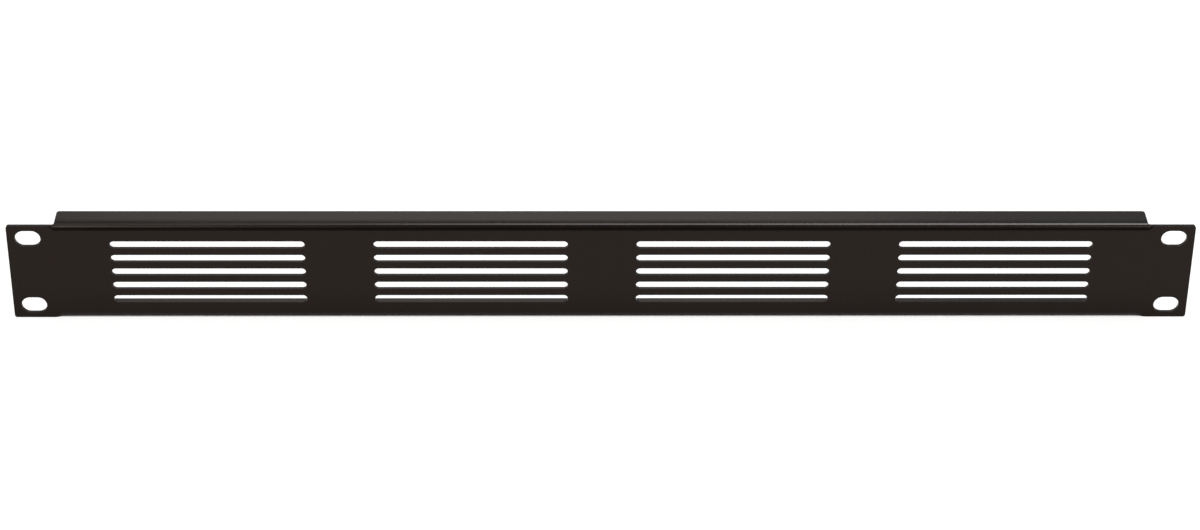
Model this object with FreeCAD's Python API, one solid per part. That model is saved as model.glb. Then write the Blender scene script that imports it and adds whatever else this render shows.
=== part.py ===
import FreeCAD, Part
import math
import os

# Vented blanking panel for one unit of a 19-inch rack, folded from one sheet.
# Millimetres. +X is to the right seen from the front, +Y into the rack, +Z up.
# The origin is the centre of the four rack slots, on the rear face, which seats on the rails.

V = FreeCAD.Vector

# Rack interface
panel_width = 482.0        # over both ears
panel_height = 43.6        # one rack unit less the gap to its neighbours
ear_width = 19.2           # the rest, between the ears, is folded and passes between the rails
mount_inset = 8.45         # panel's side to the centre of a rack slot
mount_spacing_z = 31.75    # rack slot to rack slot, up
mount_slot_length = 10.4
mount_slot_height = 7.3

# Sheet and folds
sheet = 1.5
bend_inner_r = 1.0
flange_depth = 12.0        # front face to the back edge of a flange

# Corners of the blank
ear_corner_r = 1.2
flange_corner_r = 1.2      # free corners of each flange
flange_root_r = 0.8        # where a flange's end runs into the ear
bend_run_out = 2.6         # how far along the ear a bend fades into the flat sheet

# Vent field
vent_columns = 4
vent_rows = 5
vent_slot_length = 79.0
vent_slot_height = 3.4
vent_column_pitch = 106.8
vent_row_pitch = 6.45

# Levels that follow from the sizes above
half_height = panel_height / 2.0
half_channel = panel_width / 2.0 - ear_width
mount_spacing_x = panel_width - 2.0 * mount_inset
front = -sheet
rear = 0.0
flange_back = front + flange_depth
bend_outer_r = bend_inner_r + sheet
cut_clear = 1.0            # how far a punch passes beyond each face


def rounded_outline(corners):
    """A closed wire through the corners, given as (point, radius), with a tangent arc at each radius."""
    count = len(corners)
    stretches = []
    for i in range(count):
        point, radius = corners[i]
        if radius <= 0.0:
            stretches.append((point, None, point))
            continue
        back = (corners[i - 1][0] - point).normalize()
        ahead = (corners[(i + 1) % count][0] - point).normalize()
        half_angle = back.getAngle(ahead) / 2.0
        inward = (back + ahead).normalize()
        run = radius / math.tan(half_angle)
        middle = point + inward * (radius / math.sin(half_angle) - radius)
        stretches.append((point + back * run, middle, point + ahead * run))
    edges = []
    for i in range(count):
        start, middle, end = stretches[i]
        if middle is not None:
            edges.append(Part.Arc(start, middle, end).toShape())
        following = stretches[(i + 1) % count][0]
        if end.distanceToPoint(following) > 1e-6:
            edges.append(Part.LineSegment(end, following).toShape())
    return Part.Wire(edges)


def prism(corners, along):
    """The outline's face swept along a vector."""
    return Part.Face(rounded_outline(corners)).extrude(along)


def folded_channel():
    """The face between the ears with both flanges: the fold's section swept across, free corners rounded."""
    section = [
        ((flange_back, -half_height), 0.0),
        ((front, -half_height), bend_outer_r),
        ((front, half_height), bend_outer_r),
        ((flange_back, half_height), 0.0),
        ((flange_back, half_height - sheet), 0.0),
        ((rear, half_height - sheet), bend_inner_r),
        ((rear, -half_height + sheet), bend_inner_r),
        ((flange_back, -half_height + sheet), 0.0),
    ]
    sweep = prism([(V(-half_channel, y, z), r) for (y, z), r in section], V(2.0 * half_channel, 0, 0))
    free_corners = [e for e in sweep.Edges
                    if abs(e.CenterOfMass.y - flange_back) < 1e-6
                    and abs(abs(e.CenterOfMass.x) - half_channel) < 1e-6]
    return sweep.makeFillet(flange_corner_r, free_corners)


def ear():
    """The right ear: flat sheet from the end of the fold to the panel's side."""
    outline = [
        ((half_channel, -half_height), 0.0),
        ((panel_width / 2.0, -half_height), ear_corner_r),
        ((panel_width / 2.0, half_height), ear_corner_r),
        ((half_channel, half_height), 0.0),
    ]
    return prism([(V(x, front, z), r) for (x, z), r in outline], V(0, sheet, 0))


def flange_root():
    """The small concave corner, one sheet thick, where the upper flange's right end runs into the ear."""
    corner = V(half_channel, rear, half_height - sheet)
    along_ear = corner + V(flange_root_r, 0, 0)
    along_end = corner + V(0, flange_root_r, 0)
    middle = corner + V(1, 1, 0) * (flange_root_r * (1.0 - math.sqrt(0.5)))
    outline = [
        Part.LineSegment(corner, along_ear).toShape(),
        Part.Arc(along_ear, middle, along_end).toShape(),
        Part.LineSegment(along_end, corner).toShape(),
    ]
    return Part.Face(Part.Wire(outline)).extrude(V(0, 0, sheet))


def bend_run_out_cut():
    """Takes the upper bend's curve on into the right ear, where it climbs over the top edge and ends."""
    tangent_z = half_height - bend_outer_r
    tangent_y = front + bend_outer_r
    axis = V(half_channel, tangent_y, tangent_z)
    low = axis + V(0, -bend_outer_r, 0)
    high = axis + V(0, 0, bend_outer_r)
    middle = axis + V(0, -1, 1) * (bend_outer_r * math.sqrt(0.5))
    over_high = high + V(0, 0, cut_clear)
    ahead_high = V(half_channel, front - cut_clear, over_high.z)
    ahead_low = V(half_channel, front - cut_clear, low.z)
    outline = [Part.Arc(low, middle, high).toShape()]
    corners = [high, over_high, ahead_high, ahead_low, low]
    outline += [Part.LineSegment(a, b).toShape() for a, b in zip(corners, corners[1:])]
    return Part.Face(Part.Wire(outline)).extrude(V(bend_run_out, 0, bend_outer_r))


def mirrored(shapes, normal):
    """The shapes and their mirror images in the plane through the origin."""
    return shapes + [shape.mirror(V(0, 0, 0), normal) for shape in shapes]


def slot_punch(length, height):
    """A round-ended slot, centred on the origin and long enough to pass through the face."""
    ends = [(-1, -1), (1, -1), (1, 1), (-1, 1)]
    outline = [(V(i * length / 2.0, front - cut_clear, j * height / 2.0), height / 2.0) for i, j in ends]
    return prism(outline, V(0, sheet + 2.0 * cut_clear, 0))


def grid(tool, columns, rows, pitch_x, pitch_z):
    """Copies of the tool on a grid centred on the origin."""
    copies = []
    for i in range(columns):
        for j in range(rows):
            copy = tool.copy()
            copy.translate(V((i - (columns - 1) / 2.0) * pitch_x, 0, (j - (rows - 1) / 2.0) * pitch_z))
            copies.append(copy)
    return copies


ears = mirrored([ear()], V(1, 0, 0))
roots = mirrored(mirrored([flange_root()], V(1, 0, 0)), V(0, 0, 1))
run_outs = mirrored(mirrored([bend_run_out_cut()], V(1, 0, 0)), V(0, 0, 1))
ends = Part.makeCompound(ears + roots).cut(Part.makeCompound(run_outs))
blank = folded_channel().fuse(ends.Solids).removeSplitter()

rack_slots = grid(slot_punch(mount_slot_length, mount_slot_height), 2, 2, mount_spacing_x, mount_spacing_z)
vent_slots = grid(slot_punch(vent_slot_length, vent_slot_height), vent_columns, vent_rows,
                  vent_column_pitch, vent_row_pitch)
panel = blank.cut(Part.makeCompound(rack_slots + vent_slots)).removeSplitter()

solid = panel.Solids[0]
print("solids", len(panel.Solids), "valid", panel.isValid(), "volume", round(panel.Volume, 2),
      "faces", len(panel.Faces))
os.makedirs("parts", exist_ok=True)
solid.exportStep("parts/vented_panel.step")
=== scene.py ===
import math

import bpy
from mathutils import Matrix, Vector


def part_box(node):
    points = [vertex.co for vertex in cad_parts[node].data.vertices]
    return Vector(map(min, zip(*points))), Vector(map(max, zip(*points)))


# Vented blanking panel for a 19-inch rack, standing on its lower flange.
# Metres, in the part's own frame: +X right seen from the front, +Y into the rack, +Z up.

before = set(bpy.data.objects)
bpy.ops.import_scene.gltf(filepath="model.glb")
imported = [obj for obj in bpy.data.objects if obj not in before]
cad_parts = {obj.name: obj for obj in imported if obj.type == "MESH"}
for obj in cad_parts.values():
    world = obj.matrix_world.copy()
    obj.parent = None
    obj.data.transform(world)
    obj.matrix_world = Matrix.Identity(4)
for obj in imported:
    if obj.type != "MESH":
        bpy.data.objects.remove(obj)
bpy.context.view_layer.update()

MM = 0.001
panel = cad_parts["vented_panel"]
low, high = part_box("vented_panel")

# Levels read off the panel's box
floor_level = low[2]
panel_front = low[1]
ear_start = high[0] - 19.0 * MM      # just past the flanges' ends
flange_inside = high[2] - 1.8 * MM   # a little further in than the inner skin of either flange

# Powder coat
PEEL = 2.2 * MM                      # crest to crest of the orange peel
GRAIN = 0.45 * MM                    # crest to crest of the grain on it
DRIFT = 60.0 * MM                    # stretch of sheet over which the cure changes
RELIEF = 0.02 * MM                   # height of both together
EDGE_ROUND = 0.1 * MM                # deburred edges

# Bow beside each bend, reckoned from the panel's front: it has died out at the far end
BOW_SINK = 0.46 * MM
BOW_START = -2.8 * MM
BOW_END = 6.2 * MM

# Studio
PAPER_SIDE = 4.0
PAPER_AHEAD = 250.0 * MM             # how far the paper runs out in front of the panel
PAINTED_SHADOW_REACH = 30.0 * MM              # how near the panel has to be for the paper's glow to be dimmed: a painted contact shadow
COOL = "e0f2ff"

# ---------------------------------------------------------------- helpers


def colour(code):
    """An sRGB hex value as linear red, green, blue and alpha."""
    parts = [int(code[i:i + 2], 16) / 255.0 for i in (0, 2, 4)]
    return [c / 12.92 if c <= 0.04045 else ((c + 0.055) / 1.055) ** 2.4 for c in parts] + [1.0]


def add(tree, kind, inputs=None, **settings):
    """A node of that kind. Inputs go to its sockets, as values or links; settings are its properties."""
    node = tree.nodes.new(kind)
    for name, value in settings.items():
        setattr(node, name, value)
    for socket, value in (inputs or {}).items():
        if isinstance(value, bpy.types.NodeSocket):
            tree.links.new(value, node.inputs[socket])
        else:
            node.inputs[socket].default_value = value
    return node


def new_material(name):
    """An empty node material and its tree."""
    material = bpy.data.materials.new(name)
    material.use_nodes = True
    material.node_tree.nodes.clear()
    return material, material.node_tree


# ---------------------------------------------------------------- finish


def powder_coat():
    """Black polyester powder baked on steel: a warm near-black skin with a soft sheen and a faint grain."""
    material, tree = new_material("black_powder_coated_steel")
    place = add(tree, "ShaderNodeTexCoord").outputs["Object"]

    # The powder flows into a faint orange peel, with a finer grain on it a third as strong.
    peel = add(tree, "ShaderNodeTexNoise", {"Vector": place, "Scale": 1.0 / PEEL, "Detail": 1.0})
    grain = add(tree, "ShaderNodeTexNoise", {"Vector": place, "Scale": 1.0 / GRAIN, "Detail": 2.0})
    relief = add(tree, "ShaderNodeMath", {0: peel.outputs["Fac"], 1: 3.0, 2: grain.outputs["Fac"]},
                 operation="MULTIPLY_ADD")

    # How deep and how glossy it cured changes slowly along the sheet.
    drift = add(tree, "ShaderNodeTexNoise", {"Vector": place, "Scale": 1.0 / DRIFT, "Detail": 2.0})
    pigment = add(tree, "ShaderNodeMix", {0: drift.outputs["Fac"], 6: colour("14100c"), 7: colour("1a1612")},
                  data_type="RGBA")
    sheen = add(tree, "ShaderNodeMapRange", {"Value": drift.outputs["Fac"], "From Min": 0.3, "From Max": 0.7,
                                             "To Min": 0.23, "To Max": 0.29})

    # The press brake leaves the flanges slightly bowed beside the bends, so they darken towards them.
    depth = add(tree, "ShaderNodeSeparateXYZ", {"Vector": place}).outputs["Y"]
    bow = add(tree, "ShaderNodeMapRange", {"Value": depth, "To Min": 0.0, "To Max": -BOW_SINK,
                                           "From Min": panel_front + BOW_END,
                                           "From Max": panel_front + BOW_START},
              interpolation_type="SMOOTHERSTEP")

    # Only the flanges have it: the face, the ears and the walls of the slots are flat.
    from_middle = add(tree, "ShaderNodeVectorMath", {0: place}, operation="ABSOLUTE")
    from_middle = add(tree, "ShaderNodeSeparateXYZ", {"Vector": from_middle.outputs["Vector"]})
    between_ears = add(tree, "ShaderNodeMath", {0: from_middle.outputs["X"], 1: ear_start},
                       operation="LESS_THAN")
    at_flange_level = add(tree, "ShaderNodeMath", {0: from_middle.outputs["Z"], 1: flange_inside},
                          operation="GREATER_THAN")
    on_flange = add(tree, "ShaderNodeMath", {0: between_ears.outputs[0], 1: at_flange_level.outputs[0]},
                    operation="MULTIPLY")

    # Deburred edges, rounded under the coat, catch a thin line of light.
    edge = add(tree, "ShaderNodeBevel", {"Radius": EDGE_ROUND}, samples=6)
    bowed = add(tree, "ShaderNodeBump", {"Strength": on_flange.outputs[0], "Distance": 1.0,
                                         "Height": bow.outputs["Result"], "Normal": edge.outputs["Normal"]})
    skin = add(tree, "ShaderNodeBump", {"Strength": 0.12, "Distance": RELIEF,
                                        "Height": relief.outputs[0], "Normal": bowed.outputs["Normal"]})
    coat = add(tree, "ShaderNodeBsdfPrincipled", {"Base Color": pigment.outputs[2],
                                                  "Specular Tint": colour("ffe2d6"),
                                                  "Roughness": sheen.outputs["Result"],
                                                  "Normal": skin.outputs["Normal"]})
    add(tree, "ShaderNodeOutputMaterial", {"Surface": coat.outputs["BSDF"]})
    return material


panel.data.materials.clear()
panel.data.materials.append(powder_coat())

# ---------------------------------------------------------------- studio


def white_paper():
    """Pale paper with a glow, white for the lens and dim for the coat, that is dimmed near the panel: a
    painted contact shadow.
    """
    material, tree = new_material("white_paper")
    ray = add(tree, "ShaderNodeLightPath")
    # Ambient occlusion dims the glow near the panel: this is a painted shadow on the paper and in its
    # reflection, on top of the lamps' real shade
    openness = add(tree, "ShaderNodeAmbientOcclusion", {"Distance": PAINTED_SHADOW_REACH}, samples=8)
    glows = []
    for kind, shut_in, wide_open, brightest in (("Is Camera Ray", 0.26, 0.49, 0.9),
                                                ("Is Glossy Ray", 0.10, 0.40, 0.29)):
        glow_with_painted_shadow = add(tree, "ShaderNodeMapRange", {"Value": openness.outputs["AO"], "From Min": shut_in,
                                                    "From Max": wide_open, "To Min": 0.0,
                                                    "To Max": brightest})
        glows.append(add(tree, "ShaderNodeMath", {0: ray.outputs[kind], 1: glow_with_painted_shadow.outputs["Result"]},
                         operation="MULTIPLY"))
    strength = add(tree, "ShaderNodeMath", {0: glows[0].outputs[0], 1: glows[1].outputs[0]},
                   operation="ADD")
    glow = add(tree, "ShaderNodeEmission", {"Strength": strength.outputs[0]})
    paper = add(tree, "ShaderNodeBsdfDiffuse", {"Color": colour("8f8a84")})
    both = add(tree, "ShaderNodeAddShader", {0: paper.outputs[0], 1: glow.outputs[0]})
    add(tree, "ShaderNodeOutputMaterial", {"Surface": both.outputs[0]})
    return material


def studio_floor():
    """Paper under the panel. Its front edge is near, and past it the upper bend mirrors the dim room."""
    middle = panel_front - PAPER_AHEAD + PAPER_SIDE / 2.0
    bpy.ops.mesh.primitive_plane_add(size=PAPER_SIDE, location=(0.0, middle, floor_level))
    floor = bpy.context.object
    floor.name = "studio_floor"
    floor.data.materials.append(white_paper())


def studio_world():
    """A dim even room; the lens sees plain white behind the panel."""
    world = bpy.data.worlds.new("studio")
    bpy.context.scene.world = world
    world.use_nodes = True
    tree = world.node_tree
    tree.nodes.clear()
    ray = add(tree, "ShaderNodeLightPath")
    room = add(tree, "ShaderNodeBackground", {"Color": colour("ffffff"), "Strength": 0.05})
    backdrop = add(tree, "ShaderNodeBackground", {"Color": colour("ffffff"), "Strength": 1.0})
    pick = add(tree, "ShaderNodeMixShader", {0: ray.outputs["Is Camera Ray"], 1: room.outputs[0],
                                             2: backdrop.outputs[0]})
    add(tree, "ShaderNodeOutputWorld", {"Surface": pick.outputs[0]})


def softbox(name, place, aim, size, radiance, tint="ffffff"):
    """A flat even light, of that width and height; its power follows from them and how bright it looks."""
    width, height = size
    data = bpy.data.lights.new(name, "AREA")
    data.shape = "RECTANGLE"
    data.size = width
    data.size_y = height
    data.energy = radiance * math.pi * width * height
    data.color = colour(tint)[:3]
    lamp = bpy.data.objects.new(name, data)
    lamp.location = place
    lamp.rotation_euler = (Vector(aim) - Vector(place)).to_track_quat("-Z", "Y").to_euler()
    lamp.visible_camera = False
    bpy.context.collection.objects.link(lamp)


def lights():
    """The softboxes. None shares its plane with another, because some of the light is lost there."""
    # Upright sheets behind the panel, which the flanges' upper skins mirror
    softbox("back_sheet", (0.0, 2.0, 0.72), (0.0, 0.0, 0.72), (2.6, 1.5), 0.36, "f4faff")
    softbox("back_sheet_middle", (-0.1, 1.9, 0.72), (-0.1, 0.0, 0.72), (0.9, 1.4), 0.45, "fffaf4")

    # Overhead, behind and ahead, which the upper bend mirrors as thin lines, brighter to the right
    softbox("overhead_back", (0.15, 0.40, 1.24), (0.15, 0.0, 0.0), (1.6, 0.7), 1.15, COOL)
    softbox("overhead_back_middle", (0.34, 0.37, 1.18), (0.34, 0.0, 0.0), (0.97, 0.6), 3.6, COOL)
    softbox("overhead_back_right", (0.45, 0.36, 1.12), (0.45, 0.0, 0.0), (0.5, 0.58), 4.3, COOL)
    softbox("overhead_left", (-0.72, -0.55, 1.07), (-0.72, 0.0, 0.0), (0.7, 0.55), 3.2)
    softbox("overhead_right", (0.75, -0.64, 1.02), (0.75, 0.0, 0.0), (0.55, 0.45), 2.6)

    # A large sheet and a softbox at each side, for the ends and for views from the side
    softbox("side_sheet_left", (-2.2, 0.7, 0.75), (0.0, 0.7, 0.75), (3.6, 1.5), 0.4)
    softbox("side_sheet_right", (2.2, 0.7, 0.75), (0.0, 0.7, 0.75), (3.6, 1.5), 0.4)
    softbox("side_left", (-1.8, -1.3, 1.1), (0.0, 0.0, 0.0), (1.0, 1.0), 1.5)
    softbox("side_right", (1.8, -1.3, 1.1), (0.0, 0.0, 0.0), (1.0, 1.0), 1.5)


def camera():
    """A long lens 1.3 m away, a little left of the middle and looking down about 32 degrees."""
    data = bpy.data.cameras.new("camera")
    data.lens = 93.316
    data.sensor_width = 36.0
    data.clip_start = 0.01
    data.clip_end = 50.0
    eye = bpy.data.objects.new("camera", data)
    eye.location = (-0.01886, -1.07799, 0.67352)
    eye.rotation_euler = [math.radians(turn) for turn in (58.098, -0.417, -0.700)]
    bpy.context.collection.objects.link(eye)
    bpy.context.scene.camera = eye


studio_floor()
studio_world()
lights()
camera()
bpy.context.scene.view_settings.view_transform = "Standard"
